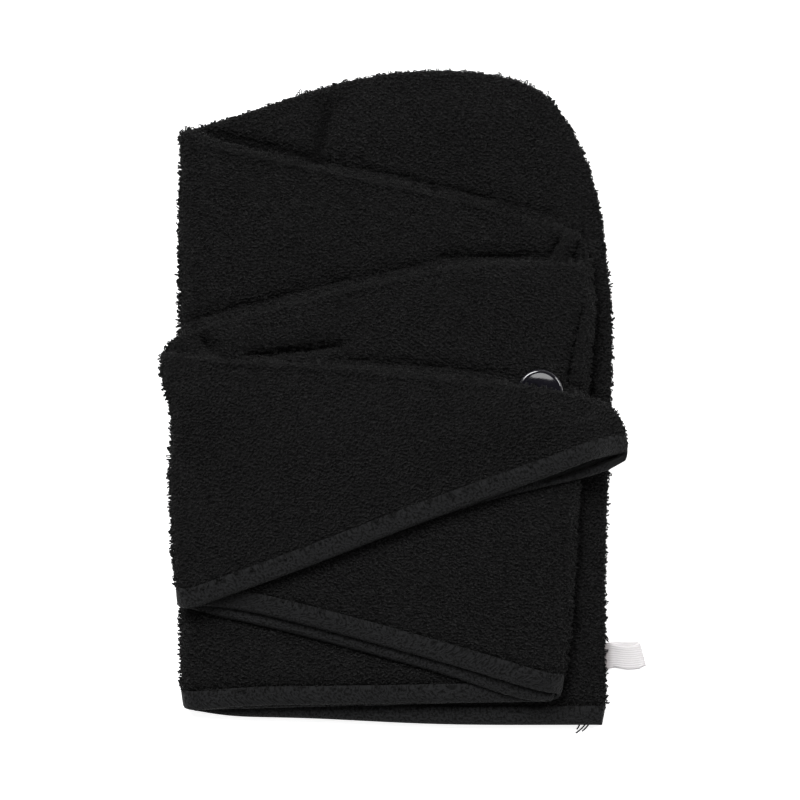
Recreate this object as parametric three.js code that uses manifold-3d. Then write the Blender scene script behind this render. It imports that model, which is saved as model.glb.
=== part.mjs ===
// A hair turban towel of black terry, folded in four and lying flat.
// The towel is a hood with a long tail: a front and a back panel of one outline, sewn together along the
// back, the crown, the top of the tail and its tip, and open along the straight hem, where the head goes in.
// It lies in an accordion of four layers: the crown lowest, the tail's tip on top. Each layer has a lower
// and an upper sheet with the hollow of the hood between them.
// Millimetres, X to the right, Y from the hem to the crown, Z up.
import * as THREE from "three";
import { mergeVertices } from "three/addons/utils/BufferGeometryUtils.js";
import Module from "manifold-3d";

// Cloth
const clothThickness = 2.2;
const hemThickness = 2.2;
const hemWidth = 6.4;
const edgeRound = 2.2;
const edgeStep = 0.35 * edgeRound;
const edgeShare = 0.25;
const stationClear = 3;
const pieceGap = 0.3;
const hollowRoom = 1.0;
const layerGap = 0.5;
const seamRun = 14;

// Folded towel
const foldedWidth = 165;
const hoodHeight = 252;
const foldShoulder = 3;
const outerSag = 0.25;
const swellHeight = 3;
const swellRun = 12;

// Tail tip
const mouthRise = 4.8;
const mouthFromTip = 17;
const mouthReach = 15;
const mouthDepth = 19.5;
const tipSag = 2.6;
const liftRun = 24;
const ledgeAt = 0.6;
const tipAt = 0.2;

// Button
const buttonDiameter = 18;
const buttonThickness = 3.4;
const buttonFromTip = 31;
const buttonInset = 1.5;
const buttonRecessDepth = 1.3;
const buttonRecessDiameter = 11;
const holeDiameter = 2;
const holeSpacing = 6.2;
const holeTurn = 135;
const threadDiameter = 0.8;
const shankLength = 0.9;

// Elastic loop
const elasticThickness = 0.9;
const elasticWidth = 10;
const loopReach = 14.4;
const loopEye = 4.9;
const loopAboveHem = 26.4;
const loopTab = 6;
const loopFloorGap = 0.2;
const loopLean = 0.35;
const loopSkew = 0.22;

const { clamp, degToRad, lerp, smoothstep } = THREE.MathUtils;

// The sides of the layers. at: share of the way up; out: share of the folded width.
const backSeam = [
  { at: 0, out: 0.985 },
  { at: 0.06, out: 0.994 },
  { at: 0.3, out: 0.991 },
  { at: 0.55, out: 0.998 },
  { at: 0.88, out: 1.008 },
  { at: 1, out: 1.004 },
];
const firstFold = [
  { at: 0, out: 0.008 },
  { at: 0.05, out: 0.001 },
  { at: 0.9, out: 0 },
  { at: 1, out: 0.003 },
];
const secondFold = [
  { at: 0, out: 0.891 },
  { at: 0.15, out: 0.91 },
  { at: 0.45, out: 0.928 },
  { at: 0.7, out: 0.949 },
  { at: 0.9, out: 0.967 },
  { at: 1, out: 0.957 },
];
const thirdFold = [
  { at: 0, out: -0.004 },
  { at: 0.3, out: -0.017 },
  { at: 0.6, out: -0.02 },
  { at: 0.8, out: -0.012 },
  { at: 0.89, out: -0.041 },
  { at: 1, out: -0.045 },
];
const tailTip = [
  { at: 0, out: 1.036 },
  { at: 0.2, out: 1.043 },
  { at: 0.6, out: 1.035 },
  { at: 1, out: 1.02 },
];

// The four layers, lowest first. In hem and seam, at is the share of the way from the layer's start to its
// end, up is a height as a share of the hood's height, and under is how far the lower sheet's hem hangs out
// below the upper sheet's. The stations are the shares where the cloth has a column of points.
const layers = [
  {
    start: backSeam,
    end: firstFold,
    hem: [
      { at: 0, up: 0.001, under: 0.001 },
      { at: 0.4, up: 0.002, under: 0.001 },
      { at: 0.75, up: 0.012, under: 0.001 },
      { at: 0.92, up: 0.014, under: 0.001 },
      { at: 1, up: 0.022, under: 0 },
    ],
    seam: [
      { at: 0, up: 0.648 },
      { at: 0.02, up: 0.765 },
      { at: 0.05, up: 0.849 },
      { at: 0.09, up: 0.905 },
      { at: 0.14, up: 0.955 },
      { at: 0.2, up: 0.98 },
      { at: 0.26, up: 0.991 },
      { at: 0.36, up: 1 },
      { at: 0.5, up: 0.998 },
      { at: 0.63, up: 0.985 },
      { at: 0.77, up: 0.959 },
      { at: 0.87, up: 0.935 },
      { at: 0.96, up: 0.92 },
      { at: 1, up: 0.908 },
    ],
    stations: [0.025, 0.05, 0.08, 0.115, 0.16, 0.22, 0.3, 0.4, 0.5, 0.6, 0.7, 0.8, 0.9, 0.96, 1],
  },
  {
    start: firstFold,
    end: secondFold,
    hem: [
      { at: 0, up: 0.024, under: 0 },
      { at: 0.15, up: 0.031, under: 0.004 },
      { at: 0.45, up: 0.033, under: 0.002 },
      { at: 0.75, up: 0.036, under: 0 },
      { at: 1, up: 0.038, under: 0 },
    ],
    seam: [
      { at: 0, up: 0.903 },
      { at: 0.05, up: 0.891 },
      { at: 0.3, up: 0.854 },
      { at: 0.54, up: 0.825 },
      { at: 0.73, up: 0.796 },
      { at: 0.92, up: 0.765 },
      { at: 1, up: 0.753 },
    ],
    stations: [0, 0.06, 0.16, 0.28, 0.4, 0.52, 0.64, 0.76, 0.87, 0.95, 1],
  },
  {
    start: secondFold,
    end: thirdFold,
    hem: [
      { at: 0, up: 0.052, under: 0.012 },
      { at: 0.08, up: 0.063, under: 0.024 },
      { at: 0.2, up: 0.084, under: 0.018 },
      { at: 0.5, up: 0.13, under: 0.018 },
      { at: 0.8, up: 0.172, under: 0.018 },
      { at: 0.93, up: 0.185, under: 0.016 },
      { at: 1, up: 0.184, under: 0.004 },
    ],
    seam: [
      { at: 0, up: 0.704 },
      { at: 0.12, up: 0.708 },
      { at: 0.3, up: 0.701 },
      { at: 0.5, up: 0.677 },
      { at: 0.7, up: 0.647 },
      { at: 0.9, up: 0.614 },
      { at: 1, up: 0.59 },
    ],
    stations: [0, 0.05, 0.14, 0.26, 0.38, 0.5, 0.62, 0.73, 0.84, 0.93, 1],
  },
  {
    start: thirdFold,
    end: tailTip,
    hem: [
      { at: 0, up: 0.181, under: 0 },
      { at: 0.25, up: 0.24, under: 0 },
      { at: 0.5, up: 0.304, under: 0 },
      { at: 0.67, up: 0.345, under: 0.003 },
      { at: 0.85, up: 0.388, under: 0.017 },
      { at: 0.95, up: 0.412, under: 0.025 },
      { at: 1, up: 0.414, under: 0.01 },
    ],
    seam: [
      { at: 0, up: 0.568 },
      { at: 0.05, up: 0.562 },
      { at: 0.3, up: 0.552 },
      { at: 0.5, up: 0.542 },
      { at: 0.77, up: 0.52 },
      { at: 0.9, up: 0.507 },
      { at: 0.97, up: 0.492 },
      { at: 1, up: 0.475 },
    ],
    stations: [0, 0.06, 0.15, 0.25, 0.35, 0.45, 0.54, 0.62, 0.69, 0.75, 0.805, 0.855, 0.9, 0.935, 0.96, 0.98],
  },
];
const tailLayer = layers.length - 1;

// Soft swells and dents in the upper sheet of a layer, where no layer covers it. x: share of the folded
// width; y, long and wide: shares of the hood's height; turn: degrees; rise: share of the swell height.
const swells = [
  { layer: 0, x: 0.62, y: 0.93, long: 0.19, wide: 0.06, turn: -6, rise: 0.8 },
  { layer: 0, x: 0.22, y: 0.93, long: 0.07, wide: 0.03, turn: 18, rise: 0.5 },
  { layer: 0, x: 0.33, y: 0.885, long: 0.05, wide: 0.02, turn: 105, rise: -0.9 },
  { layer: 1, x: 0.3, y: 0.76, long: 0.2, wide: 0.06, turn: -4, rise: 0.5 },
  { layer: 1, x: 0.9, y: 0.735, long: 0.035, wide: 0.03, turn: 50, rise: 0.7 },
  { layer: 2, x: 0.55, y: 0.63, long: 0.2, wide: 0.04, turn: 9, rise: 0.5 },
  { layer: 2, x: 0.1, y: 0.59, long: 0.05, wide: 0.02, turn: 20, rise: 0.6 },
  { layer: 2, x: 0.27, y: 0.565, long: 0.09, wide: 0.012, turn: 6, rise: -0.6 },
  { layer: 3, x: 0.45, y: 0.43, long: 0.28, wide: 0.1, turn: 12, rise: 0.6 },
  { layer: 3, x: 0.05, y: 0.5, long: 0.06, wide: 0.04, turn: 60, rise: 0.6 },
  { layer: 3, x: 0.07, y: 0.38, long: 0.09, wide: 0.02, turn: 105, rise: -0.5 },
];

// Rows of points up a panel, as shares of its plain height, and the turns of the cloth round a fold
const panelShares = [0, 0.09, 0.2, 0.32, 0.44, 0.56, 0.67, 0.77, 0.85, 0.92, 1];
const outerTurns = [-67.5, -45, -22.5, 0, 22.5, 45, 67.5];
const innerTurns = [-45, 0, 45];

const sheetRoom = Math.max(clothThickness, hemThickness);
const layerPitch = 2 * sheetRoom + hollowRoom + layerGap;
const outerReach = (layerPitch + sheetRoom + hollowRoom + clothThickness) / 2;

// The value of a table's column at a share of its way, on a smooth curve through its rows.
function follow(table, column, at) {
  const last = table.length - 1;
  const i = clamp(table.findLastIndex((row) => row.at <= at), 0, last - 1);
  const steepness = (j) => {
    const before = table[Math.max(0, j - 1)];
    const after = table[Math.min(last, j + 1)];
    return (after[column] - before[column]) / (after.at - before.at);
  };
  const span = table[i + 1].at - table[i].at;
  const t = clamp((at - table[i].at) / span, 0, 1);
  const rise = 3 * t ** 2 - 2 * t ** 3;
  const leave = (t ** 3 - 2 * t ** 2 + t) * span * steepness(i);
  const arrive = (t ** 3 - t ** 2) * span * steepness(i + 1);
  return lerp(table[i][column], table[i + 1][column], rise) + leave + arrive;
}

// Where the flat part of a layer ends: at its seam, or as far inside the fold's outline as the bend reaches.
function sideX(table, at) {
  const outline = foldedWidth * follow(table, "out", at);
  if (table === backSeam || table === tailTip) return outline;
  return table === secondFold ? outline - outerReach : outline + outerReach;
}

const layerX = (layer, across, at) => lerp(sideX(layer.start, at), sideX(layer.end, at), across);

// The front panel is the lower sheet of the crown layer, and the two panels change places at each fold.
const isLower = (panel, n) => (panel === "front") === (n % 2 === 0);

// How high the upper edge of a layer lies at a place across the towel.
function seamHeightAt(layer, x) {
  const start = sideX(layer.start, 1);
  const across = clamp((x - start) / (sideX(layer.end, 1) - start), 0, 1);
  return hoodHeight * follow(layer.seam, "up", across);
}

// The button's place, a little inside the upper edge of the tail.
const tail = layers[tailLayer];
const buttonX = foldedWidth * follow(tailTip, "out", 1) - buttonFromTip;
const buttonY = seamHeightAt(tail, buttonX) - buttonInset;
const buttonRoom = buttonThickness + shankLength + 2 * pieceGap - layerGap;

// How far the tail's tip rises over the button and hangs down past the fold beside it.
function tailLift(x, y) {
  const fromButton = Math.hypot(x - buttonX, y - buttonY) - buttonDiameter / 2;
  const lift = buttonRoom * (1 - smoothstep(fromButton, 1, liftRun));
  const ledge = foldedWidth * follow(secondFold, "out", ledgeAt);
  const past = smoothstep(x, ledge, foldedWidth * follow(tailTip, "out", tipAt));
  return lerp(lift, -tipSag, past);
}

// The sum of the swells and dents at a place on a layer's upper sheet.
function swellAt(n, x, y) {
  const above = layers[n + 1];
  const bare = above ? smoothstep(y - seamHeightAt(above, x), 0, swellRun) : 1;
  let sum = 0;
  for (const swell of swells.filter((row) => row.layer === n)) {
    const turn = degToRad(swell.turn);
    const dx = x - swell.x * foldedWidth;
    const dy = y - swell.y * hoodHeight;
    const along = (dx * Math.cos(turn) + dy * Math.sin(turn)) / (swell.long * hoodHeight);
    const aside = (dy * Math.cos(turn) - dx * Math.sin(turn)) / (swell.wide * hoodHeight);
    sum += swell.rise * swellHeight * Math.exp(-(along ** 2 + aside ** 2));
  }
  return sum * bare;
}

// How far the mouth of the tail stands open at a place near its hem.
function mouthAt(x, y, foot) {
  const fromMiddle = (x - (foldedWidth * follow(tailTip, "out", 0) - mouthFromTip)) / mouthReach;
  const fromHem = Math.max(0, y - foot) / mouthDepth;
  return mouthRise * Math.exp(-(fromMiddle ** 2 + fromHem ** 2));
}

// The room between the two sheets of a layer. It closes towards the seams.
function hollowAt(n, x, y, foot, seamDistance) {
  let room = hollowRoom + swellAt(n, x, y);
  if (n === tailLayer) room += mouthAt(x, y, foot);
  const open = smoothstep(seamDistance, 0, seamRun);
  return Math.max(pieceGap, lerp(pieceGap, room, open));
}

// A column of points up the flat part of a layer.
function flatColumn(panel, n, across) {
  const layer = layers[n];
  const lower = isLower(panel, n);
  const upperFoot = hoodHeight * follow(layer.hem, "up", across);
  const foot = upperFoot - (lower ? hoodHeight * follow(layer.hem, "under", across) : 0);
  const top = hoodHeight * follow(layer.seam, "up", across);
  const width = Math.abs(layerX(layer, 1, 0) - layerX(layer, 0, 0));
  const step = 0.01;
  const hemRise = hoodHeight * (follow(layer.hem, "up", across + step) - follow(layer.hem, "up", across - step));
  const band = hemWidth * Math.hypot(1, hemRise / (2 * step * width));
  const endDistances = { 0: across * width, [tailLayer]: (1 - across) * width };
  const endDistance = endDistances[n] ?? Infinity;
  const place = (y) => {
    const x = layerX(layer, across, (y - foot) / (top - foot));
    const seamDistance = Math.min(top - y, endDistance);
    const base = n * layerPitch + (n === tailLayer ? tailLift(x, y) : 0);
    const above = lower ? 0 : sheetRoom + hollowAt(n, x, y, upperFoot, seamDistance);
    return {
      middle: new THREE.Vector3(x, y, base + above + sheetRoom / 2),
      out: new THREE.Vector3(0, 0, lower ? -1 : 1),
      seamDistance,
    };
  };
  return { foot, top, band, place };
}

// A column of points on the bend between two layers, at a turn from -90 to 90 degrees.
function bendColumn(panel, n, degrees) {
  const before = flatColumn(panel, n, 1);
  const after = flatColumn(panel, n + 1, 0);
  const turn = degToRad(degrees);
  const share = (1 + Math.sin(turn)) / 2;
  const shoulder = foldShoulder * Math.cos(turn) ** 2;
  const side = n % 2 === 0 ? -1 : 1;
  const outward = isLower(panel, n) ? 1 : -1;
  const foot = lerp(before.foot, after.foot, share) + (outward > 0 ? shoulder * outerSag : 0);
  const top = lerp(before.top, after.top, share) - shoulder;
  const place = (y) => {
    const at = (y - foot) / (top - foot);
    const low = before.place(lerp(before.foot, before.top, at));
    const high = after.place(lerp(after.foot, after.top, at));
    const radius = (high.middle.z - low.middle.z) / 2;
    const x = lerp(low.middle.x, high.middle.x, share) + side * radius * Math.cos(turn);
    const z = (low.middle.z + high.middle.z) / 2 + radius * Math.sin(turn);
    return {
      middle: new THREE.Vector3(x, y, z),
      out: new THREE.Vector3(side * Math.cos(turn), 0, Math.sin(turn)).multiplyScalar(outward),
      seamDistance: top - y,
    };
  };
  return { foot, top, band: lerp(before.band, after.band, share), place };
}

// All columns of a panel, from the back seam of the crown layer to the tail's tip.
function columnsOf(panel) {
  const columns = [];
  layers.forEach((layer, n) => {
    const width = Math.abs(layerX(layer, 1, 0) - layerX(layer, 0, 0));
    const insets = [0, edgeStep, edgeRound].map((inset) => inset / width);
    const stations = layer.stations.filter((across) => n > 0 || across * width > stationClear);
    if (n === 0) stations.unshift(...insets);
    if (n === tailLayer) stations.push(...insets.map((inset) => 1 - inset).reverse());
    columns.push(...stations.map((across) => flatColumn(panel, n, across)));
    if (n === tailLayer) return;
    const turns = isLower(panel, n) ? outerTurns : innerTurns;
    columns.push(...turns.map((degrees) => bendColumn(panel, n, degrees)));
  });
  return columns;
}

// A closed skin round a grid of points, each with a point on the outside and one on the inside.
function skinOf(grid, turned) {
  const rows = grid[0].length;
  const points = grid.flat().flatMap(({ outside, inside }) => [outside, inside]);
  const outer = (i, j) => 2 * (i * rows + j);
  const inner = (i, j) => outer(i, j) + 1;
  const faces = [];
  const quad = (a, b, c, d) => {
    if (turned) faces.push(a, c, b, a, d, c);
    else faces.push(a, b, c, a, c, d);
  };
  const last = grid.length - 1;
  const top = rows - 1;
  for (let i = 0; i < last; i++) {
    for (let j = 0; j < top; j++) {
      quad(outer(i, j), outer(i + 1, j), outer(i + 1, j + 1), outer(i, j + 1));
      quad(inner(i, j), inner(i, j + 1), inner(i + 1, j + 1), inner(i + 1, j));
    }
    quad(outer(i, 0), inner(i, 0), inner(i + 1, 0), outer(i + 1, 0));
    quad(outer(i, top), outer(i + 1, top), inner(i + 1, top), inner(i, top));
  }
  for (let j = 0; j < top; j++) {
    quad(outer(0, j), outer(0, j + 1), inner(0, j + 1), inner(0, j));
    quad(outer(last, j), inner(last, j), inner(last, j + 1), outer(last, j + 1));
  }
  const geometry = new THREE.BufferGeometry().setFromPoints(points);
  geometry.setIndex(faces);
  return geometry;
}

// How much of the cloth's thickness is left near a rounded edge.
function fullness(distance) {
  const t = clamp(distance / edgeRound, 0, 1);
  return lerp(edgeShare, 1, Math.sqrt(1 - (1 - t) ** 2));
}

// A terry panel: it keeps clear of its hem band, and its outer face is rounded down to the seams.
function panelGeometry(panel) {
  const grid = columnsOf(panel).map((column) => {
    const bottom = column.foot + column.band + pieceGap;
    const heights = panelShares.map((share) => lerp(bottom, column.top - edgeRound, share));
    heights.push(column.top - edgeStep, column.top);
    return heights.map((y) => {
      const { middle, out, seamDistance } = column.place(y);
      const thick = clothThickness * fullness(seamDistance);
      return {
        outside: middle.clone().addScaledVector(out, thick - clothThickness / 2),
        inside: middle.clone().addScaledVector(out, -clothThickness / 2),
      };
    });
  });
  return skinOf(grid, panel === "back");
}

// A hem band: the panel's flat woven border, folded double, with a rounded lower edge.
function hemGeometry(panel) {
  const grid = columnsOf(panel).map((column) => {
    const rises = [0, edgeStep, edgeRound, column.band];
    return rises.map((rise) => {
      const { middle, out, seamDistance } = column.place(column.foot + rise);
      const fold = (hemThickness / 2) * fullness(rise);
      const end = hemThickness * fullness(seamDistance) - hemThickness / 2;
      return {
        outside: middle.clone().addScaledVector(out, Math.min(fold, end)),
        inside: middle.clone().addScaledVector(out, -fold),
      };
    });
  });
  return skinOf(grid, panel === "back");
}

// Solids for cuts
const wasm = await Module();
wasm.setup();

function solidOf(geometry) {
  const bare = geometry.clone();
  bare.deleteAttribute("normal");
  bare.deleteAttribute("uv");
  const merged = mergeVertices(bare, 1e-4);
  return new wasm.Manifold(
    new wasm.Mesh({
      numProp: 3,
      vertProperties: new Float32Array(merged.attributes.position.array),
      triVerts: new Uint32Array(merged.index.array),
    }),
  );
}

function geometryOf(solid) {
  const { vertProperties, triVerts } = solid.getMesh();
  const geometry = new THREE.BufferGeometry();
  geometry.setAttribute("position", new THREE.BufferAttribute(vertProperties, 3));
  geometry.setIndex(new THREE.BufferAttribute(triVerts, 1));
  return geometry;
}

// Elastic loop: a flat band folded back on itself. Its tab is sewn into the back seam, and outside the seam
// the two plies part round an eye that the button goes through. The lower ply lies near the floor.
const loopFoot = follow(layers[0].hem, "up", 0) * hoodHeight;
const loopY = loopFoot + loopAboveHem;
const seamX = sideX(backSeam, loopAboveHem / (follow(layers[0].seam, "up", 0) * hoodHeight - loopFoot));
const seamZ = sheetRoom + pieceGap / 2;

function loopOutline(grow) {
  const eyeFloor = loopFloorGap + elasticThickness - seamZ;
  const bow = loopReach - elasticThickness;
  const plies = [
    { x: 0.04, low: 0.0, high: 0.0 },
    { x: 0.16, low: 0.55, high: 0.3 },
    { x: 0.34, low: 0.97, high: 0.8 },
    { x: 0.56, low: 1, high: 1 },
    { x: 0.78, low: 0.96, high: 0.92 },
    { x: 0.93, low: 0.72, high: 0.62 },
    { x: 1, low: 0.25, high: 0.05 },
  ];
  const lower = plies.map((row) => new THREE.Vector2(row.x * bow, eyeFloor * row.low - grow));
  const upper = plies.map((row) => new THREE.Vector2(row.x * bow, (eyeFloor + loopEye) * row.high + grow));
  const end = new THREE.Vector2(bow + grow, (lower.at(-1).y + upper.at(-1).y) / 2);
  return [...lower, end, ...upper.reverse()];
}

function elasticLoopGeometry() {
  const tab = [
    new THREE.Vector2(0, elasticThickness),
    new THREE.Vector2(-loopTab, elasticThickness),
    new THREE.Vector2(-loopTab, -elasticThickness),
    new THREE.Vector2(0, -elasticThickness),
  ];
  const outline = new THREE.Shape([...tab, ...loopOutline(elasticThickness)]);
  outline.holes.push(new THREE.Path(loopOutline(0)));
  const geometry = new THREE.ExtrudeGeometry(outline, { depth: elasticWidth, steps: 3, bevelEnabled: false });
  geometry.rotateX(Math.PI / 2);
  geometry.translate(0, elasticWidth / 2, 0);
  const position = geometry.attributes.position;
  for (let i = 0; i < position.count; i++) {
    const [x, y, z] = [position.getX(i), position.getY(i), position.getZ(i)];
    const outside = Math.max(0, x) / loopReach;
    position.setX(i, x - loopSkew * y * outside);
    position.setY(i, y - loopLean * z * smoothstep(outside, 0, 0.4));
  }
  geometry.translate(seamX, loopY, seamZ);
  return geometry;
}

// The pocket in the back seam that the loop's tab sits in.
function cutForLoop(geometry) {
  const room = [loopTab + 2 * edgeRound, elasticWidth + 2 * pieceGap, 2 * (elasticThickness + pieceGap)];
  const pocket = new THREE.BoxGeometry(...room);
  pocket.translate(seamX + 2 * edgeRound - room[0] / 2 - pieceGap, loopY, seamZ);
  return geometryOf(solidOf(geometry).subtract(solidOf(pocket)));
}

// Button: a round button with a soft rim and two holes. It lies face down under the tail's edge, so its
// recess is below and its smooth back shows.
const tailFloor = tailLayer * layerPitch;
const buttonZ = tailFloor - layerGap + pieceGap;

function buttonGeometry() {
  const radius = buttonDiameter / 2;
  const thick = buttonThickness;
  const recess = buttonRecessDiameter / 2;
  const profile = [
    [0, buttonRecessDepth],
    [recess - buttonRecessDepth, buttonRecessDepth],
    [recess, 0.15 * thick],
    [recess + 0.12 * radius, 0],
    [0.86 * radius, 0.02 * thick],
    [0.96 * radius, 0.16 * thick],
    [radius, 0.42 * thick],
    [0.985 * radius, 0.64 * thick],
    [0.93 * radius, 0.83 * thick],
    [0.82 * radius, 0.94 * thick],
    [0.6 * radius, 0.985 * thick],
    [0, thick],
  ].map(([r, z]) => new THREE.Vector2(r, z));
  const disc = new THREE.LatheGeometry(profile, 36);
  disc.rotateX(Math.PI / 2);
  let button = solidOf(disc);
  for (const side of [-1, 1]) {
    const hole = new THREE.CylinderGeometry(holeDiameter / 2, holeDiameter / 2, 3 * thick, 14);
    hole.rotateX(Math.PI / 2);
    hole.translate((side * holeSpacing) / 2, 0, thick / 2);
    button = button.subtract(solidOf(hole));
  }
  return geometryOf(button);
}

// Button thread: it leaves the tail's seam, goes down one hole, along the recess and up the other hole.
function threadGeometry() {
  const reach = holeSpacing / 2;
  const ceiling = buttonThickness + shankLength - threadDiameter / 2;
  const low = 0.6 * threadDiameter;
  const route = [
    [threadDiameter, ceiling],
    [0.7 * reach, buttonThickness + 0.55 * shankLength],
    [reach, 0.8 * buttonThickness],
    [reach, 0.45 * buttonThickness],
    [0.75 * reach, low],
    [0, low],
  ];
  const back = route.slice(0, -1).reverse();
  const points = [...route, ...back.map(([x, z]) => [-x, z])].map(([x, z]) => new THREE.Vector3(x, 0, z));
  const path = new THREE.CatmullRomCurve3(points);
  const section = new THREE.Shape(new THREE.Path().absarc(0, 0, threadDiameter / 2, 0, 2 * Math.PI).getPoints(3));
  return new THREE.ExtrudeGeometry(section, { steps: 30, bevelEnabled: false, extrudePath: path });
}

// Finishes
const finish = (color, roughness) => new THREE.MeshStandardMaterial({ color, roughness, metalness: 0 });
const terry = finish(0x19191a, 0.95);
const flatWeave = finish(0x202124, 0.85);
const buttonGloss = finish(0x15131f, 0.12);
const sewingThread = finish(0x101013, 0.7);
const elastic = finish(0xe1dee0, 0.8);

function piece(name, geometry, material) {
  const mesh = new THREE.Mesh(geometry, material);
  mesh.name = name;
  return mesh;
}

const cloth = new THREE.Group();
cloth.add(
  piece("front_panel", cutForLoop(panelGeometry("front")), terry),
  piece("back_panel", cutForLoop(panelGeometry("back")), terry),
  piece("front_hem", hemGeometry("front"), flatWeave),
  piece("back_hem", hemGeometry("back"), flatWeave),
);

const fastening = new THREE.Group();
fastening.position.set(buttonX, buttonY, buttonZ);
fastening.rotation.z = degToRad(holeTurn);
fastening.add(
  piece("button", buttonGeometry(), buttonGloss),
  piece("button_thread", threadGeometry(), sewingThread),
);

const towel = new THREE.Group();
towel.add(cloth, fastening, piece("elastic_loop", elasticLoopGeometry(), elastic));

// The origin is the middle of the footprint, on the surface that the towel lies on.
const bounds = new THREE.Box3().setFromObject(towel);
const middle = bounds.getCenter(new THREE.Vector3());
towel.position.set(-middle.x, -middle.y, -bounds.min.z);

export default towel;
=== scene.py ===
"""A black terry hair turban towel, folded in four and lying flat, with its button and its elastic loop."""

import math

import bmesh
import bpy
import numpy as np
from mathutils import Matrix, Vector
from mathutils.bvhtree import BVHTree


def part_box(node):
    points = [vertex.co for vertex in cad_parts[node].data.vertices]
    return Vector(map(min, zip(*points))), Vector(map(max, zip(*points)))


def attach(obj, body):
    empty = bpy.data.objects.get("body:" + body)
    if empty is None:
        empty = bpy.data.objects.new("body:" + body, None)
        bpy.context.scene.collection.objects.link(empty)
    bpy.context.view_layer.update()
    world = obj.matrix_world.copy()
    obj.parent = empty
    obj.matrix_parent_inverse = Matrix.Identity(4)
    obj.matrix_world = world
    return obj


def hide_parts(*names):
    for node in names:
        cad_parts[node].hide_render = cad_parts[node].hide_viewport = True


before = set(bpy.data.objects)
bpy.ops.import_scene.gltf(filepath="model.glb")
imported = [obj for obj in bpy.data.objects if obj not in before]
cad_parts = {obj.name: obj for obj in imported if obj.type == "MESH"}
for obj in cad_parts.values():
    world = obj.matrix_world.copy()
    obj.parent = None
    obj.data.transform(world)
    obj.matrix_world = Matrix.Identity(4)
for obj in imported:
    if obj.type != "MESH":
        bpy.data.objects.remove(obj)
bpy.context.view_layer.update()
MM = 0.001

# Terry: the ground cloth lies under the pile, and the pile is made of single loops of yarn.
PILE_DEPTH = 0.55 * MM
PILE_PIECES = 5
LOOP_PITCH = 1.22 * MM
LOOP_WIDTH = 1.2 * MM
LOOP_HEIGHT = 0.9 * MM
LOOP_TRIES = 5
GRID_LIFT = 0.4
YARN_RADIUS = 0.25 * MM
TURN_SPREAD = 0.42
LEAN = 0.15
LEAN_SPREAD = 0.6
ROOT_DEPTH = 0.15 * MM
FLOOR_GAP = 0.06 * MM
WELD = 0.01 * MM
SHARP_FROM = math.radians(52)
THINNED_SHARE = 0.22

# A place is open to the air when a look straight out, or one of four tilted looks, meets nothing so far away.
AIR_START = 0.3 * MM
AIR_ABOVE = 4.5 * MM
AIR_ASIDE = 11 * MM
AIR_TILT = math.radians(58)

# How creases sink the cloth and darken its colour with painted shade, and how finely it is cut for them
CREASE_ROUNDS = 3
REFINE_FROM = 0.25 * MM
REFINE_LENGTH = 1.3 * MM
CREASE_ROOM = 0.2 * MM
SUNK_SHARE = 0.8
PRESSED_MOST = 0.45
WAVE_HEIGHT = 0.2 * MM
PAINTED_SHADE_FROM = 1.4 * MM
PAINTED_SHADE_DEPTH = 3.2 * MM
PAINTED_SHADE_LEAST = 0.12

# Hems
HEM_DEPTH = 0.35 * MM
HEM_GAP = 0.7 * MM
HEM_REACH = 0.6 * MM
HEM_FRINGE = 3.8 * MM
FRINGE_THINNING = 0.8
FRINGE_LOWEST = 0.35
FRINGE_RISE = 0.6

# Button and its holes, as seen from above
BUTTON_STEPS = 72
BOWL_EDGE = 0.8
BOWL_TOP = 0.98
BOWL_RINGS = 8
BOWL_SLOPE = math.radians(8.5)
HOLE_RADIUS = 1.2 * MM
HOLE_SPACING = 6.2 * MM
HOLE_TURN = math.radians(133)
HOLE_RIM = 0.5 * MM
SEWN_SHIFT = Vector((0.9 * MM, -0.5 * MM, 0))

# Elastic loop and loose ends of thread. The ends run through x and y in the photograph's pixels, and a
# height in millimetres.
ELASTIC_TAB = 6 * MM
ELASTIC_BOW = 1.1 * MM
ELASTIC_TUCK = 1.5 * MM
ELASTIC_RIB = 0.95 * MM
# The band's root: the x pixels over which its painted shade, where it goes into the seam, fades out.
ELASTIC_PAINTED_SHADE = (604, 614)
END_RADIUS = 0.3 * MM
LOOSE_ENDS = (
    ((589, 719, 2.4), (583, 728, 2.2), (575.5, 733, 1.8)),
    ((592, 719, 2.4), (587, 727, 2.2), (582, 731, 2.0)),
    ((581, 719, 2.4), (579, 727, 2.2), (576.5, 729, 2.0)),
)

# The four layers lie one on another, lowest first: their pitch, and the turn of each one's rows of loops.
LAYER_PITCH = 5.9 * MM
LAYER_TURNS = (0.0, -1.3, -11.3, 19.6)

# Camera and floor
PHOTO_SIZE = 800
PHOTO_SCALE = 0.385 * MM
PHOTO_MIDDLE = (403.6, 397.5)
CAMERA_HEIGHT = 2.6
SENSOR = 36
FLOOR_HALF = 6
FLOOR_DROP = 0.02 * MM
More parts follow.
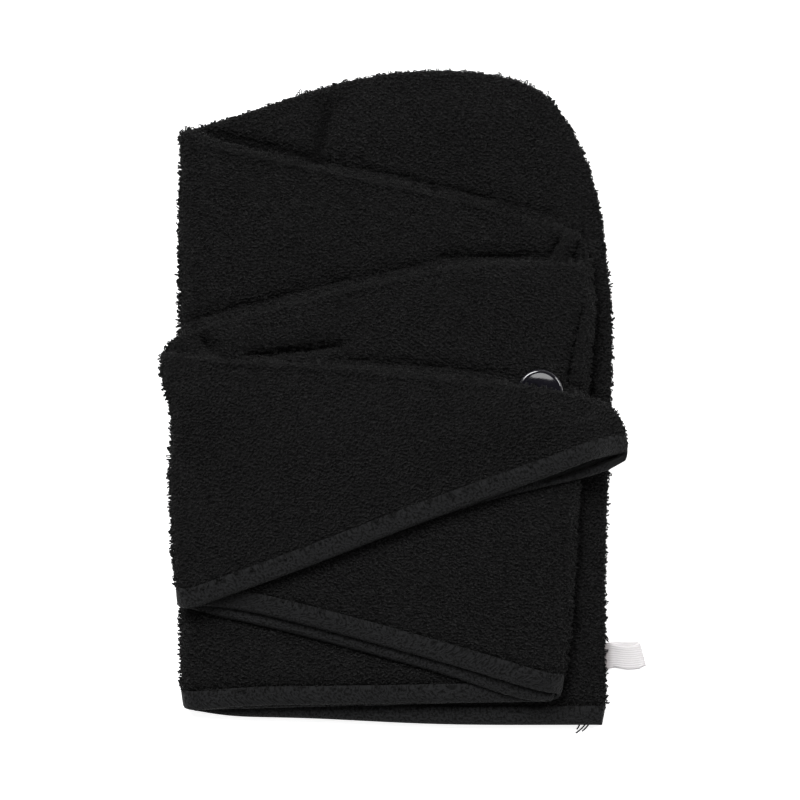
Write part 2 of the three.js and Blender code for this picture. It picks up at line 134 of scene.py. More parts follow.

# Creases and bulges of the uppermost cloth: from x, y to x, y and half its width, in the photograph's pixels,
# and its rise in millimetres. Where they sink deep, painted shade darkens the colour of the cloth and its
# pile.
CREASES = (
    (200, 132, 330, 163, 4, -3.6),
    (300, 157, 420, 181, 3.5, -2.6),
    (400, 177, 490, 199, 3.5, -2.2),
    (470, 194, 566, 220, 3.5, -2.4),
    (196, 145, 330, 173, 4, 1.6),
    (310, 169, 480, 205, 4, 1.3),
    (460, 201, 556, 226, 4, 1.2),
    (164, 330, 250, 303, 3.5, -2.4),
    (230, 308, 350, 280, 3.5, -2.2),
    (330, 284, 450, 259, 3.5, -2.2),
    (180, 336, 300, 302, 4, 0.8),
    (280, 308, 450, 268, 4, 0.9),
    (330, 359, 440, 367, 3.5, -2.2),
    (420, 365, 520, 377, 3.5, -2.2),
    (560, 383, 606, 397, 3.5, -2.0),
    (190, 360, 330, 369, 4, 0.9),
    (310, 368, 520, 389, 4, 0.9),
    (540, 482, 594, 465, 2.0, -3.6),
    (588, 466, 622, 453, 1.8, -4.2),
    (330, 106, 314, 166, 6, -5.5),
    (300, 118, 296, 160, 8, 0.9),
    (348, 116, 354, 165, 10, 0.9),
    (216, 136, 282, 151, 4.5, -4.5),
    (352, 152, 470, 178, 12, -0.8),
    (440, 257, 548, 257, 5, -4.5),
    (548, 256, 562, 238, 4, -3.5),
    (216, 322, 300, 296, 7, -1.6),
    (202, 338, 214, 352, 5, -4.5),
    (232, 340, 262, 330, 9, 0.6),
    (250, 356, 340, 346, 4.5, -7.0),
    (564, 258, 572, 228, 5.5, 4.0),
    (592, 262, 589, 242, 6, 1.6),
    (583, 234, 571, 258, 2.2, -5.0),
    (582, 306, 572, 352, 2.1, -3.6),
    (573, 346, 567, 388, 2.1, -5.0),
    (576, 330, 574, 384, 1.6, 0.9),
    (588, 296, 578, 388, 3, 0.9),
    (584, 262, 592, 310, 2.4, -1.6),
    (561, 500, 565, 650, 3, -1.3),
    (572, 470, 574, 650, 2.4, -1.0),
    (190, 440, 216, 532, 8, -1.8),
    (204, 418, 230, 516, 7, -1.2),
    (236, 420, 262, 500, 12, 0.6),
    (300, 470, 420, 440, 26, 0.5),
    (240, 240, 360, 262, 26, 0.5),
    (400, 200, 410, 260, 12, -0.6),
    (380, 110, 520, 120, 24, 0.6),
    (198, 380, 190, 420, 9, 0.8),
    (240, 640, 380, 660, 16, -0.6),
)

# The top left corner is drawn out: where, how far round it, and by how much, in the photograph's pixels.
CORNER = (188, 138)
CORNER_REACH = 12
CORNER_PULL = (-4.5, -4.5)


def photo_place(x, y):
    """Where a pixel of the photograph lies in the frame, in metres."""
    return (x - PHOTO_MIDDLE[0]) * PHOTO_SCALE, (PHOTO_MIDDLE[1] - y) * PHOTO_SCALE


def smooth_step(value, low, high):
    """0 below low, 1 above high, and smooth between them."""
    t = np.clip((value - low) / (high - low), 0, 1)
    return t * t * (3 - 2 * t)


# Shader maths


class Value:
    """A socket in a finish's node tree, for use in plain expressions."""

    def __init__(self, finish, socket):
        self.finish = finish
        self.socket = socket

    def _with(self, operation, *others):
        sockets = {i: other for i, other in enumerate(others)}
        return self.finish.add("ShaderNodeMath", sockets, operation=operation)

    def __add__(self, other):
        return self._with("ADD", self, other)

    def __mul__(self, other):
        return self._with("MULTIPLY", self, other)

    def wave(self, length):
        """A sine wave along this value, from -1 to 1."""
        return self._with("SINE", self * (2 * math.pi / length))

    def between(self, low, high):
        """0 below low, 1 above high, and smooth between them."""
        sockets = {"Value": self, "From Min": low, "From Max": high}
        return self.finish.add("ShaderNodeMapRange", sockets, interpolation_type="SMOOTHSTEP")


class Finish:
    """A material, with one method that adds any node to it."""

    def __init__(self, name, **settings):
        self.material = bpy.data.materials.new(name)
        self.material.use_nodes = True
        self.tree = self.material.node_tree
        self.shader = self.tree.nodes["Principled BSDF"]
        for socket, value in settings.items():
            self.set(socket.replace("_", " "), value)

    def fill(self, socket, value):
        if isinstance(value, Value):
            self.tree.links.new(value.socket, socket)
        elif hasattr(value, "__len__") and len(value) == 3 and len(socket.default_value) == 4:
            socket.default_value = (*value, 1)
        else:
            socket.default_value = value

    def set(self, name, value):
        self.fill(self.shader.inputs[name], value)

    def add(self, kind, sockets=None, output=0, **settings):
        node = self.tree.nodes.new(kind)
        for name, value in settings.items():
            setattr(node, name, value)
        for key, value in (sockets or {}).items():
            self.fill(node.inputs[key], value)
        return Value(self, node.outputs[output])

    def place(self):
        return self.add("ShaderNodeTexCoord", output="Object")

    def split(self, vector):
        parts = self.add("ShaderNodeSeparateXYZ", {0: vector})
        return [Value(self, socket) for socket in parts.socket.node.outputs]

    def noise(self, scale, detail, vector=None):
        sockets = {"Vector": vector or self.place(), "Scale": scale, "Detail": detail}
        return self.add("ShaderNodeTexNoise", sockets)

    def attribute(self, name):
        return self.add("ShaderNodeAttribute", output="Fac", attribute_name=name)

    def mix(self, share, first, second):
        """A colour between two colours."""
        node = self.tree.nodes.new("ShaderNodeMix")
        node.data_type = "RGBA"
        for socket, value in ((0, share), (6, first), (7, second)):
            self.fill(node.inputs[socket], value)
        return Value(self, node.outputs[2])

    def bump(self, height, depth):
        self.set("Normal", self.add("ShaderNodeBump", {"Height": height, "Distance": depth}))


def cloth_rows(finish):
    """Along and across the rows of the cloth's weave, in metres, from the piece's own UV map."""
    return finish.split(finish.add("ShaderNodeUVMap", uv_map="weave"))


def terry_ground():
    finish = Finish("terry_ground", Roughness=0.95, Specular_IOR_Level=0.1, Sheen_Weight=0.02)
    along, across, _ = cloth_rows(finish)
    tufts = finish.noise(1000, 3)
    rows = across.wave(2.2 * MM) * along.wave(2.6 * MM)
    # The tufts and rows vary the ground's tone at random; the "light" number darkens it with painted shade in
    # the creases.
    light = (tufts + rows * 0.08).between(0.36, 0.64) * finish.attribute("light")
    finish.set("Base Color", finish.mix(light, (0.0018, 0.0018, 0.0019), (0.0098, 0.0097, 0.01)))
    finish.bump(rows * 0.3 + tufts, 0.8 * MM)
    return finish.material


def terry_loop():
    finish = Finish("terry_loop", Roughness=0.9, Specular_IOR_Level=0.15, Sheen_Weight=0.03)
    # The "rise" number is painted shade: it is 0 at the loops' roots deep in the pile, and lower down in the
    # creases, where the colour goes to the dark root colour.
    rise = finish.attribute("rise")
    tint = finish.attribute("tint")
    _, y, _ = finish.split(finish.place())
    # Random fading lightens the loops in patches; as painted shade they are also darker towards the top of
    # the frame, where the window lamp lights the towel most.
    fading_and_painted_shade = finish.noise(60, 3).between(0.35, 0.8) * 0.4 + (y * -1).between(-0.12, 0) * 0.35
    root = (0.002, 0.002, 0.002)
    crown = finish.mix(tint, (0.0034, 0.0034, 0.0034), (0.0142, 0.0142, 0.0143))
    uneven_tone = finish.mix(fading_and_painted_shade, crown, (0.0142, 0.0142, 0.0143))
    finish.set("Base Color", finish.mix(rise, root, uneven_tone))
    finish.bump(finish.noise(4200, 1), 0.12 * MM)
    return finish.material


def woven_border():
    finish = Finish("woven_border", Roughness=0.85, Specular_IOR_Level=0.18, Sheen_Weight=0.03)
    along, across, _ = cloth_rows(finish)
    strands = finish.add("ShaderNodeCombineXYZ", {0: along, 1: across * 0.8, 2: 0.0})
    slubs = finish.noise(1100, 1, strands)
    uneven_tone = finish.noise(120, 3)
    thread = finish.mix(uneven_tone, (0.0072, 0.0073, 0.0077), (0.0125, 0.0128, 0.0136))
    # The slubs give the weave; the "light" number darkens it with painted shade in the creases.
    share = slubs.between(0.38, 0.52) * finish.attribute("light")
    finish.set("Base Color", finish.mix(share, (0.0012, 0.0012, 0.0013), thread))
    finish.bump(slubs * 2, 0.6 * MM)
    return finish.material


def button_gloss():
    finish = Finish("button_gloss", Roughness=0.08, Coat_Weight=1.0, Coat_Roughness=0.04, IOR=1.52)
    clouds = finish.noise(240, 2)
    finish.set("Base Color", finish.mix(clouds, (0.004, 0.0037, 0.0058), (0.0075, 0.007, 0.0108)))
    finish.set("Roughness", finish.noise(1500, 2) * 0.05 + 0.06)
    finish.bump(finish.noise(320, 1), 0.02 * MM)
    return finish.material


def sewing_thread():
    finish = Finish("sewing_thread", Roughness=0.6, Specular_IOR_Level=0.35)
    x, y, z = finish.split(finish.place())
    twist = (x + y + z * 1.6).wave(0.5 * MM)
    finish.set("Base Color", finish.mix(twist.between(-1, 1), (0.004, 0.004, 0.0045), (0.011, 0.011, 0.013)))
    finish.bump(twist, 0.06 * MM)
    return finish.material


def ribbed_elastic():
    finish = Finish("ribbed_elastic", Roughness=0.75, Specular_IOR_Level=0.3, Sheen_Weight=0.08)
    along, across, _ = cloth_rows(finish)
    x, _, _ = finish.split(finish.place())
    rib = across.wave(ELASTIC_RIB)
    knit = along.wave(0.7 * MM) * across.wave(0.5 * MM)
    soiled = finish.noise(160, 3)
    yarn = finish.mix(soiled, (0.69, 0.665, 0.675), (0.8, 0.785, 0.79))
    ribbed = finish.mix((rib + knit * 0.3).between(-1, 0.2), (0.65, 0.625, 0.63), yarn)
    # Painted shade: the band is painted dark grey at its root, where it goes into the seam, and fades to its
    # own colour a few pixels out.
    root = x.between(*(photo_place(pixel, 0)[0] for pixel in ELASTIC_PAINTED_SHADE))
    finish.set("Base Color", finish.mix(root, (0.24, 0.215, 0.215), ribbed))
    finish.bump(rib * 0.3 + knit * 0.3 + finish.noise(2400, 2) * 0.6, 0.12 * MM)
    return finish.material


# Meshes


def add_object(name, mesh, *materials):
    obj = bpy.data.objects.new(name, mesh)
    bpy.context.scene.collection.objects.link(obj)
    for material in materials:
        mesh.materials.append(material)
    return obj


def mesh_of(shell, name):
    """Makes a mesh of a bmesh, which is freed."""
    mesh = bpy.data.meshes.new(name)
    shell.to_mesh(mesh)
    shell.free()
    return mesh


def evaluated_mesh(obj, *materials):
    """The object's mesh with its modifiers or its bevel in it, smooth, in the materials that are given."""
    graph = bpy.context.evaluated_depsgraph_get()
    mesh = bpy.data.meshes.new_from_object(obj.evaluated_get(graph))
    mesh.materials.clear()
    for material in materials:
        mesh.materials.append(material)
    mesh.shade_smooth()
    return mesh


def points_of(mesh):
    flat = np.empty(3 * len(mesh.vertices), np.float32)
    mesh.vertices.foreach_get("co", flat)
    return flat.reshape(-1, 3).astype(float)


def normals_of(mesh):
    flat = np.empty(3 * len(mesh.vertices), np.float32)
    mesh.vertex_normals.foreach_get("vector", flat)
    return flat.reshape(-1, 3).astype(float)


def move_points(mesh, points):
    mesh.vertices.foreach_set("co", points.astype(np.float32).ravel())
    mesh.update()


def triangles_of(mesh):
    mesh.calc_loop_triangles()
    flat = np.empty(3 * len(mesh.loop_triangles), np.int32)
    mesh.loop_triangles.foreach_get("vertices", flat)
    return flat.reshape(-1, 3)


def apply_modifiers(obj):
    """Makes the object's modifiers part of its mesh."""
    mesh = evaluated_mesh(obj, *obj.data.materials)
    obj.modifiers.clear()
    obj.data = mesh
    return obj


def smooth_copy(node, name, material, levels):
    """A rounded copy of a CAD node, in the node's place."""
    shell = bmesh.new()
    shell.from_mesh(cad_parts[node].data)
    bmesh.ops.remove_doubles(shell, verts=shell.verts, dist=WELD)
    bmesh.ops.join_triangles(
        shell,
        faces=shell.faces,
        angle_face_threshold=math.radians(40),
        angle_shape_threshold=math.radians(60),
    )
    bmesh.ops.recalc_face_normals(shell, faces=shell.faces)
    sharp = shell.edges.layers.float.new("crease_edge")
    for edge in shell.edges:
        edge[sharp] = 1.0 if edge.calc_face_angle(0) > SHARP_FROM else 0.0
    obj = add_object(name, mesh_of(shell, name), material)
    rounding = obj.modifiers.new("rounding", "SUBSURF")
    rounding.levels = rounding.render_levels = levels
    return apply_modifiers(obj)


def write_number(mesh, label, values):
    """One number at each point of a mesh, for its material."""
    mesh.attributes.new(label, "FLOAT", "POINT").data.foreach_set("value", values.astype(np.float32))


def row_turn(heights):
    """The turn of the rows of loops at a height in the folded towel, in radians."""
    steps, turns = [], []
    for n, turn in enumerate(LAYER_TURNS):
        steps += [(n + 0.1) * LAYER_PITCH, (n + 0.9) * LAYER_PITCH]
        turns += [math.radians(turn)] * 2
    return np.interp(heights, steps, turns)


def write_rows(mesh, along, across):
    """The piece's UV map: along and across the rows of its weave, in metres."""
    corner = np.empty(len(mesh.loops), np.int32)
    mesh.loops.foreach_get("vertex_index", corner)
    layer = mesh.uv_layers.new(name="weave")
    layer.uv.foreach_set("vector", np.stack([along, across], 1)[corner].astype(np.float32).ravel())


def write_weave(mesh):
    """The UV map of a cloth in layers, whose rows turn from layer to layer."""
    points = points_of(mesh)
    turn = row_turn(points[:, 2])
    along = points[:, 0] * np.cos(turn) + points[:, 1] * np.sin(turn)
    across = points[:, 1] * np.cos(turn) - points[:, 0] * np.sin(turn) + points[:, 2]
    write_rows(mesh, along, across)


def tree_of(objects, floor=None):
    """A search tree of the objects' triangles, with a floor at a height if one is wanted."""
    points, faces = [], []
    for obj in objects:
        first = len(points)
        points += [Vector(p) for p in points_of(obj.data)]
        faces += (triangles_of(obj.data) + first).tolist()
    if floor is not None:
        first = len(points)
        points += [Vector((x, y, floor)) for x, y in ((-1, -1), (1, -1), (1, 1), (-1, 1))]
        faces += [(first, first + 1, first + 2), (first, first + 2, first + 3)]
    return BVHTree.FromPolygons(points, faces)


def surfaces_below(tree, points):
    """The heights of the first three surfaces that a look from above meets at each point."""
    down = Vector((0, 0, -1))
    found = np.full((len(points), 3), -1.0)
    for row, (x, y, _) in enumerate(points):
        height = 0.1
        for k in range(3):
            hit, _, _, _ = tree.ray_cast(Vector((x, y, height)), down)
            if hit is None:
                break
            found[row, k] = hit.z
            height = hit.z - WELD
    return found


def crease_rise(points):
    """How far the creases and bulges move the uppermost cloth at each point, in metres."""
    rise = np.zeros(len(points))
    for x0, y0, x1, y1, width, height in CREASES:
        start = np.array(photo_place(x0, y0))
        run = np.array(photo_place(x1, y1)) - start
        offset = points[:, :2] - start
        share = np.clip(offset @ run / (run @ run), 0, 1)
        aside = np.linalg.norm(offset - share[:, None] * run, axis=1) / (width * PHOTO_SCALE)
        along = 0.45 + 0.55 * np.sin(math.pi * share)
        rise += height * MM * along * np.exp(-(aside**2))
    return rise


def painted_crease_shade(points):
    """Painted shade in the creases: the share of the light that would reach down into them, which darkens the
    colour of the cloth and the pile there.
    """
    return np.clip(1 + (crease_rise(points) + PAINTED_SHADE_FROM) / PAINTED_SHADE_DEPTH, PAINTED_SHADE_LEAST, 1)


def soft_waves(points):
    """Gentle unevenness of cloth that lies, from -1 to 1."""
    x, y = points[:, 0], points[:, 1]
    return (
        np.sin(x / 0.0125 + 1.3 * np.sin(y / 0.021))
        + np.sin(y / 0.0105 + 1.7 * np.sin(x / 0.018) + 0.6)
        + np.sin((x + 1.4 * y) / 0.0078 + 2.1)
    ) / 3


def refine_creases(obj, tree):
    """Cuts the uppermost cloth finer where it creases."""
    shell = bmesh.new()
    shell.from_mesh(obj.data)
    for _ in range(CREASE_ROUNDS):
        middles = np.array([(edge.verts[0].co + edge.verts[1].co) / 2 for edge in shell.edges])
        lengths = np.array([edge.calc_length() for edge in shell.edges])
        depth = np.abs(crease_rise(middles))
        wanted = np.where(depth > 4 * REFINE_FROM, 0.7, 1.4) * REFINE_LENGTH
        chosen = np.flatnonzero((depth > REFINE_FROM) & (lengths > wanted))
        below = surfaces_below(tree, middles[chosen])
        chosen = chosen[middles[chosen, 2] > below[:, 1] - 0.3 * MM]
        shell.edges.ensure_lookup_table()
        cut = [shell.edges[i] for i in chosen]
        bmesh.ops.subdivide_edges(shell, edges=cut, cuts=1, use_grid_fill=True, smooth=0)
    shell.to_mesh(obj.data)
    shell.free()
    obj.data.shade_smooth()


def crease_cloth(obj, tree):
    """Creases the uppermost sheet of cloth. It sinks into the room under it, and presses what lies below. It
    also writes the painted shade of the creases, the "light" number, for the cloth's colour.
    """
    points = points_of(obj.data)
    below = surfaces_below(tree, points)
    top = below[:, 0]
    room = np.clip(below[:, 1] - below[:, 2] - CREASE_ROOM, 0, None)
    wanted = crease_rise(points) + WAVE_HEIGHT * soft_waves(points)
    sunk = np.maximum(wanted, -SUNK_SHARE * room)
    uppermost = points[:, 2] > below[:, 1] - 0.1 * MM
    bare = smooth_step(points[:, 2], 1.0 * MM, 3.0 * MM)
    lift = np.where(uppermost, sunk * bare, 0)
    press = np.clip((wanted - sunk) / np.maximum(top, 4 * MM), -PRESSED_MOST, 0)
    # The "light" number is painted shade: it darkens the cloth's colour down in the creases.
    write_number(obj.data, "light", painted_crease_shade(points))
    points[:, 2] = points[:, 2] * (1 + press) + lift
    offset = (points[:, :2] - photo_place(*CORNER)) / (CORNER_REACH * PHOTO_SCALE)
    near = np.exp(-(offset**2).sum(1))
    points[:, 0] += near * CORNER_PULL[0] * PHOTO_SCALE
    points[:, 1] -= near * CORNER_PULL[1] * PHOTO_SCALE
    move_points(obj.data, points)


def thin_cloth(obj, tree, most):
    """Thins the cloth from its faces: the ground of the terry lies under the loops, and a hem lies flat."""
    points, normals = points_of(obj.data), normals_of(obj.data)
    depth = np.zeros(len(points))
    for i, (point, normal) in enumerate(zip(points, normals)):
        inward = Vector(-normal)
        hit, _, _, distance = tree.ray_cast(Vector(point) + inward * 0.02 * MM, inward)
        depth[i] = min(most, THINNED_SHARE * distance) if hit else 0
    on_floor = (points[:, 2] < 0.4 * MM) & (normals[:, 2] < -0.3)
    depth[on_floor] = 0
    move_points(obj.data, points - normals * depth[:, None])


def panel_distance(tree, points):
    """How far points are from the terry, and the level directions to it."""
    distance = np.zeros(len(points))
    ways = np.zeros((len(points), 3))
    for i, point in enumerate(points):
        near, _, _, distance[i] = tree.find_nearest(Vector(point))
        ways[i] = np.array(near) - point
    return distance, ways / np.maximum(distance, 1e-6)[:, None]


def join_hem(obj, tree):
    """Runs the hem's upper edge a little way into the terry that it is woven in one with."""
    points = points_of(obj.data)
    distance, ways = panel_distance(tree, points)
    beside = (distance < HEM_GAP) & (np.abs(ways[:, 2]) < 0.5)
    move_points(obj.data, points + ways * (beside * (distance + HEM_REACH))[:, None])


def across_frame(normals, turn):
    """Two directions in the cloth at each point: along a row of loops, and across it."""
    along = np.stack([np.cos(turn), np.sin(turn), np.zeros(len(turn))], 1)
    upright = np.abs((along * normals).sum(1)) > 0.9
    along[upright] = (0, 0, 1)
    along -= normals * (along * normals).sum(1)[:, None]
    along /= np.linalg.norm(along, axis=1)[:, None]
    return along, np.cross(normals, along)


def open_to_air(tree, points, normals):
    """Which points of the cloth have nothing lying on them."""
    along, across = across_frame(normals, np.zeros(len(points)))
    tilted = [side * d for d in (along, across) for side in (-1, 1)]
    clear = np.zeros(len(points), bool)
    for i, (point, normal) in enumerate(zip(points, normals)):
        start = Vector(point + normal * AIR_START)
        hit = tree.ray_cast(start, Vector(normal), AIR_ABOVE)[0]
        if hit is None:
            clear[i] = True
            continue
        for side in tilted:
            way = Vector(normal * math.cos(AIR_TILT) + side[i] * math.sin(AIR_TILT))
            if tree.ray_cast(start, way, AIR_ASIDE)[0] is None:
                clear[i] = True
                break
    return clear


def loop_places(obj, tree, rng):
    """Where loops of pile stand on a panel: points and normals, one to each square of the pitch."""
    mesh = obj.data
    points, normals = points_of(mesh), normals_of(mesh)
    faces = triangles_of(mesh)
    clear = open_to_air(tree, points, normals)
    faces = faces[clear[faces].any(1)]
    a, b, c = (points[faces[:, k]] for k in range(3))
    area = 0.5 * np.linalg.norm(np.cross(b - a, c - a), axis=1)
    wanted = area / LOOP_PITCH**2 * LOOP_TRIES
    count = np.floor(wanted + rng.random(len(area))).astype(int)
    owner = faces[np.repeat(np.arange(len(faces)), count)]
    u, v = rng.random((2, len(owner)))
    far = u + v > 1
    u[far], v[far] = 1 - u[far], 1 - v[far]
    shares = np.stack([1 - u - v, u, v], 1)[:, :, None]
    places = (points[owner] * shares).sum(1)
    facing = (normals[owner] * shares).sum(1)
    facing /= np.linalg.norm(facing, axis=1)[:, None]
    grid = places / LOOP_PITCH + (0, 0, GRID_LIFT)
    cell = np.floor(grid)
    order = np.argsort(np.linalg.norm(grid - cell - 0.5, axis=1))
    _, first = np.unique(cell[order], axis=0, return_index=True)
    kept = order[first]
    places, facing = places[kept], facing[kept]
    clear = open_to_air(tree, places, facing)
    return places[clear], facing[clear]


def loop_template():
    """One loop of yarn: rings of three points, as places on the arch and offsets from it."""
    arch = ((-0.5, -0.1, 0.0), (-0.36, 0.82, 0.25), (0.34, 0.9, 0.3), (0.5, -0.1, 0.0))
    centres, offsets, faces = [], [], []
    for ring, centre in enumerate(arch):
        lean = math.radians((-20, -50, 50, 20)[ring])
        for k in range(3):
            angle = 2 * math.pi * k / 3
            centres.append(centre)
            offsets.append(
                (math.cos(angle) * math.cos(lean), math.cos(angle) * math.sin(lean), math.sin(angle))
            )
            if ring:
                a, b = 3 * (ring - 1) + k, 3 * (ring - 1) + (k + 1) % 3
                faces.append((a, b, b + 3, a + 3))
    # rise is 0 at the root rings: the loop's material paints them dark, as painted shade deep in the pile.
    rise = [0, 0, 0, 1, 1, 1, 1, 1, 1, 0, 0, 0]
    return np.array(centres), np.array(offsets), np.array(faces), np.array(rise, float)


def pile_mesh(name, places, facing, full, rng):
    """A mesh of loops, one at each place. full is the share of the plain loop's height."""
    centres, offsets, faces, rise = loop_template()
    many = len(places)
    turn = row_turn(places[:, 2]) + rng.normal(0, TURN_SPREAD, many)
    along, across = across_frame(facing, turn)
    lean = rng.normal(LEAN, LEAN_SPREAD, many)
    sideways = smooth_step(-np.abs(facing[:, 2]), -0.7, -0.3)
    width = LOOP_WIDTH * rng.uniform(0.5, 1.4, many) * (1 - 0.45 * sideways)
    height = LOOP_HEIGHT * rng.uniform(0.6, 1.25, many) * (1 + 0.12 * soft_waves(places * 2.3))
    height *= full * (1 + sideways * rng.uniform(-0.3, 1.3, many))
    thick = YARN_RADIUS * rng.uniform(0.7, 1.25, many) * (0.5 + 0.5 * full) * (1 + 0.5 * sideways)
    flip = rng.choice([-1, 1], many)
    a = (flip * width)[:, None] * centres[:, 0] + (flip * thick)[:, None] * offsets[:, 0]
    n = height[:, None] * centres[:, 1] + thick[:, None] * offsets[:, 1] - ROOT_DEPTH
    c = (height * lean)[:, None] * centres[:, 1] + thick[:, None] * offsets[:, 2]
    points = (
        places[:, None, :]
        + a[:, :, None] * along[:, None, :]
        + n[:, :, None] * facing[:, None, :]
        + c[:, :, None] * across[:, None, :]
    )
    points[:, :, 2] = np.maximum(points[:, :, 2], FLOOR_GAP)
    quads = (np.arange(many)[:, None, None] * len(centres) + faces).reshape(-1, 4)
    mirrored = np.repeat(flip > 0, len(faces))
    quads[mirrored] = quads[mirrored][:, ::-1]
    mesh = bpy.data.meshes.new(name)
    mesh.from_pydata(points.reshape(-1, 3), [], quads)
    # The "rise" number carries painted shade: the root rings, and whole loops down in the creases, are
    # painted darker.
    light = painted_crease_shade(places)
    write_number(mesh, "rise", (light[:, None] * rise).ravel())
    write_number(mesh, "tint", np.repeat(rng.random(many), len(centres)))
    mesh.shade_smooth()
    return mesh


def thread_end(name, route, material):
    """A loose end of thread along a route from the table of loose ends."""
    curve = bpy.data.curves.new(name, "CURVE")
    curve.dimensions = "3D"
    curve.bevel_depth = END_RADIUS
    curve.bevel_resolution = 1
    curve.resolution_u = 4
    spline = curve.splines.new("NURBS")
    spline.points.add(len(route) - 1)
    for point, (x, y, z) in zip(spline.points, route):
        point.co = (*photo_place(x, y), z * MM, 1)
    spline.use_endpoint_u = True
    spline.order_u = 3
    obj = add_object(name, curve)
    mesh = evaluated_mesh(obj)
    bpy.data.objects.remove(obj)
    mesh.name = name
    return add_object(name, mesh, material)


# Cloth

ground = terry_ground()
loops = terry_loop()
border = woven_border()
rng = np.random.default_rng(7)

front = smooth_copy("front_panel", "front_terry", ground, 2)
back = smooth_copy("back_panel", "back_terry", ground, 2)
front_band = smooth_copy("front_hem", "front_border", border, 2)
back_band = smooth_copy("back_hem", "back_border", border, 2)
cloths = (front, back, front_band, back_band)

lying = tree_of(cloths, floor=0)
for cloth in cloths:
    refine_creases(cloth, lying)
for cloth in cloths:
    crease_cloth(cloth, lying)
    write_weave(cloth.data)
creased = tree_of(cloths)
panels = tree_of((front, back))
for cloth, most in zip(cloths, (PILE_DEPTH, PILE_DEPTH, HEM_DEPTH, HEM_DEPTH)):
    thin_cloth(cloth, creased, most)
for band in (front_band, back_band):
    join_hem(band, panels)

# The pile, with a fringe of low loops on the hems
bare = tree_of(cloths, floor=-0.5 * MM)
places, facing, full = [], [], []
for cloth in cloths:
    spots, normals = loop_places(cloth, bare, rng)
    share = np.ones(len(spots))
    if cloth in (front_band, back_band):
        share = 1 - panel_distance(panels, spots)[0] / HEM_FRINGE
        kept = share > FRINGE_THINNING * rng.random(len(spots))
        spots, normals, share = spots[kept], normals[kept], FRINGE_LOWEST + FRINGE_RISE * share[kept]
    places.append(spots)
    facing.append(normals)
    full.append(share)
places, facing, full = np.concatenate(places), np.concatenate(facing), np.concatenate(full)
order = np.argsort(places[:, 1])
piles = []
for n, part in enumerate(np.array_split(order, PILE_PIECES)):
    name = f"pile_{n + 1}"
    piles.append(add_object(name, pile_mesh(name, places[part], facing[part], full[part], rng), loops))

for cloth, node in zip(cloths, ("front_panel", "back_panel", "front_hem", "back_hem")):
    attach(cloth, "root")
    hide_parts(node)
for pile in piles:
    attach(pile, "root")


# Button: it has a soft rim, a bowl and two holes, and it is sewn to the tail's seam through them.


def turned_button():
    """The button without holes, in the middle of the frame, and its place and thickness."""
    low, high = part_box("button")
    radius = (high.x - low.x) / 2
    thick = high.z - low.z
    profile = [
        (0, 0.38),
        (0.5, 0.38),
        (0.62, 0.12),
        (0.74, 0.0),
        (0.88, 0.04),
        (0.965, 0.2),
        (1.0, 0.46),
        (0.995, 0.68),
        (0.975, 0.83),
        (0.945, 0.93),
        (0.91, 0.985),
        (0.875, 1.0),
        (0.84, 0.995),
    ]
    bowl = math.tan(BOWL_SLOPE) * radius / (2 * BOWL_EDGE * thick)
    for n in range(BOWL_RINGS, -1, -1):
        share = BOWL_EDGE * n / BOWL_RINGS
        profile.append((share, BOWL_TOP - bowl * (BOWL_EDGE**2 - share**2)))
    turned = bmesh.new()
    verts = [turned.verts.new((r * radius, 0, z * thick)) for r, z in profile]
    edges = [turned.edges.new(pair) for pair in zip(verts, verts[1:])]
    bmesh.ops.spin(
        turned,
        geom=verts + edges,
        cent=(0, 0, 0),
        axis=(0, 0, 1),
        angle=2 * math.pi,
        steps=BUTTON_STEPS,
        use_merge=True,
    )
    bmesh.ops.remove_doubles(turned, verts=turned.verts, dist=WELD)
    bmesh.ops.recalc_face_normals(turned, faces=turned.faces)
    obj = add_object("glossy_button", mesh_of(turned, "glossy_button"), button_gloss())
    centre = Vector(((low.x + high.x) / 2, (low.y + high.y) / 2, low.z))
    return obj, centre, thick


def drill(obj, thick):
    """Two holes through the button, with rounded rims."""
    bits = bmesh.new()
    for side in (-0.5, 0.5):
        bmesh.ops.create_cone(
            bits,
            cap_ends=True,
            segments=40,
            radius1=HOLE_RADIUS,
            radius2=HOLE_RADIUS,
            depth=3 * thick,
            matrix=Matrix.Translation((side * HOLE_SPACING, 0, thick / 2)),
        )
    cutter = add_object("bits", mesh_of(bits, "bits"))
    holes = obj.modifiers.new("holes", "BOOLEAN")
    holes.object = cutter
    holes.solver = "EXACT"
    rims = obj.modifiers.new("rims", "BEVEL")
    rims.limit_method = "ANGLE"
    rims.angle_limit = math.radians(50)
    rims.width = HOLE_RIM
    rims.segments = 5
    apply_modifiers(obj)
    bpy.data.objects.remove(cutter)


button, button_centre, button_thick = turned_button()
drill(button, button_thick)
button.data.transform(Matrix.Translation(button_centre + SEWN_SHIFT) @ Matrix.Rotation(HOLE_TURN, 4, "Z"))
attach(button, "root")
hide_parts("button")

stitch = sewing_thread()
strand = smooth_copy("button_thread", "button_stitch", stitch, 1)
strand.data.transform(Matrix.Translation(SEWN_SHIFT))
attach(strand, "root")
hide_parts("button_thread")


# Elastic loop


def elastic_band():
    """The CAD band, drawn up a little at its lower edge, with its rows bowed."""
    obj = smooth_copy("elastic_loop", "elastic_band", ribbed_elastic(), 2)
    mesh = obj.data
    points = points_of(mesh)
    low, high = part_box("elastic_loop")
    share = ((points[:, 0] - low.x - ELASTIC_TAB) / (high.x - low.x - ELASTIC_TAB)).clip(0, 1)
    across = points[:, 1] - (low.y + high.y) / 2 + (0.5 * share + np.sin(math.pi * share)) * ELASTIC_BOW
    points[:, 1] += ELASTIC_TUCK * smooth_step(share, 0, 0.3) * (high.y - points[:, 1]) / (high.y - low.y)
    move_points(mesh, points)
    write_rows(mesh, points[:, 0] + points[:, 2], across)
    return obj


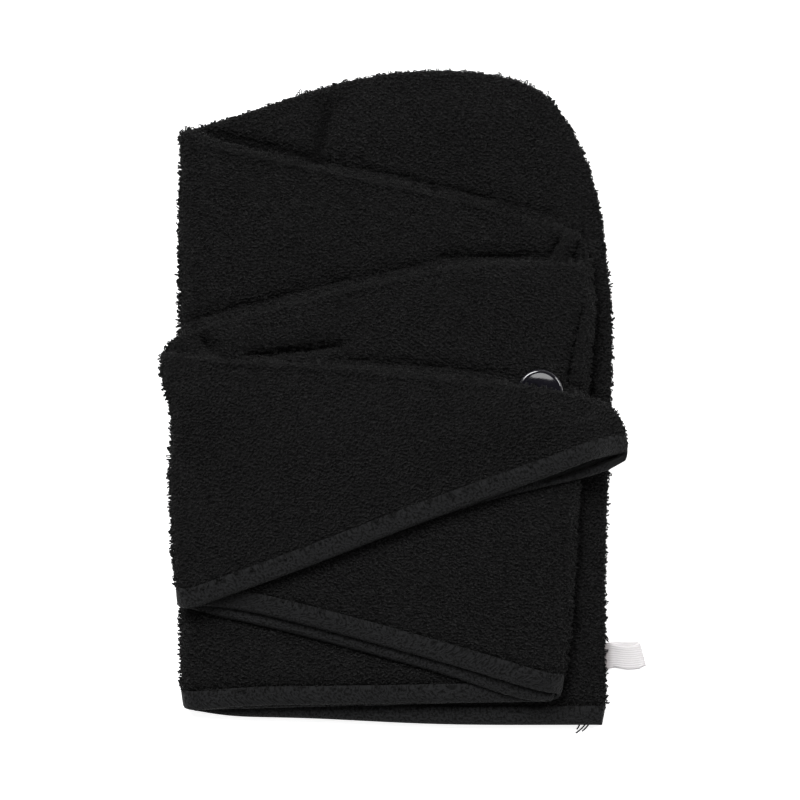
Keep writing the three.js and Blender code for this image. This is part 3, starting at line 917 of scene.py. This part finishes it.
elastic = elastic_band()
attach(elastic, "root")
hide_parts("elastic_loop")

# Loose ends of thread at the crown layer's hem
for n, route in enumerate(LOOSE_ENDS):
    end = thread_end(f"loose_end_{n + 1}", route, stitch)
    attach(end, "root")


# Studio: a white floor, three soft lights and a camera straight above


def flat_panel(name, half, height, material):
    """A square in the plane of the floor."""
    square = bmesh.new()
    bmesh.ops.create_grid(square, x_segments=1, y_segments=1, size=half)
    bmesh.ops.translate(square, verts=square.verts, vec=(0, 0, height))
    return add_object(name, mesh_of(square, name), material)


paper = Finish("paper", Base_Color=(0.9, 0.9, 0.9), Roughness=0.9, Specular_IOR_Level=0.1)
paper.set("Emission Color", (1, 1, 1, 1))
paper.set("Emission Strength", 0.8)
floor = flat_panel("floor", FLOOR_HALF, -FLOOR_DROP, paper.material)


def soft_light(name, place, wide, deep, power):
    """An area light that faces the towel."""
    data = bpy.data.lights.new(name, "AREA")
    data.shape = "RECTANGLE"
    data.size = wide
    data.size_y = deep
    data.energy = power
    light = bpy.data.objects.new(name, data)
    light.location = place
    light.rotation_euler = (-Vector(place)).to_track_quat("-Z", "Y").to_euler()
    bpy.context.scene.collection.objects.link(light)


soft_light("window", (-0.55, 1.2, 1.9), 0.9, 1.1, 50)
soft_light("overhead", (-0.08, -0.6, 2.4), 1.2, 0.18, 2.4)
soft_light("side", (1.25, 0.7, 1.4), 0.6, 0.6, 13)

world = bpy.data.worlds.new("studio")
world.use_nodes = True
nodes, links = world.node_tree.nodes, world.node_tree.links
height = nodes.new("ShaderNodeSeparateXYZ")
links.new(nodes.new("ShaderNodeTexCoord").outputs["Generated"], height.inputs[0])
dimming = nodes.new("ShaderNodeMapRange")
dimming.interpolation_type = "SMOOTHSTEP"
for socket, value in (("From Min", 0.8), ("From Max", 0.98), ("To Min", 0.26), ("To Max", 0.03)):
    dimming.inputs[socket].default_value = value
links.new(height.outputs["Z"], dimming.inputs["Value"])
links.new(dimming.outputs["Result"], nodes["Background"].inputs["Strength"])
nodes["Background"].inputs["Color"].default_value = (1, 1, 1, 1)
bpy.context.scene.world = world
bpy.context.scene.view_settings.view_transform = "Standard"

lens = bpy.data.cameras.new("camera")
lens.sensor_width = SENSOR
lens.lens = SENSOR * CAMERA_HEIGHT / (PHOTO_SIZE * PHOTO_SCALE)
lens.clip_end = 20
camera = bpy.data.objects.new("camera", lens)
middle = photo_place(PHOTO_SIZE / 2, PHOTO_SIZE / 2)
camera.location = (*middle, CAMERA_HEIGHT)
bpy.context.scene.collection.objects.link(camera)
bpy.context.scene.camera = camera
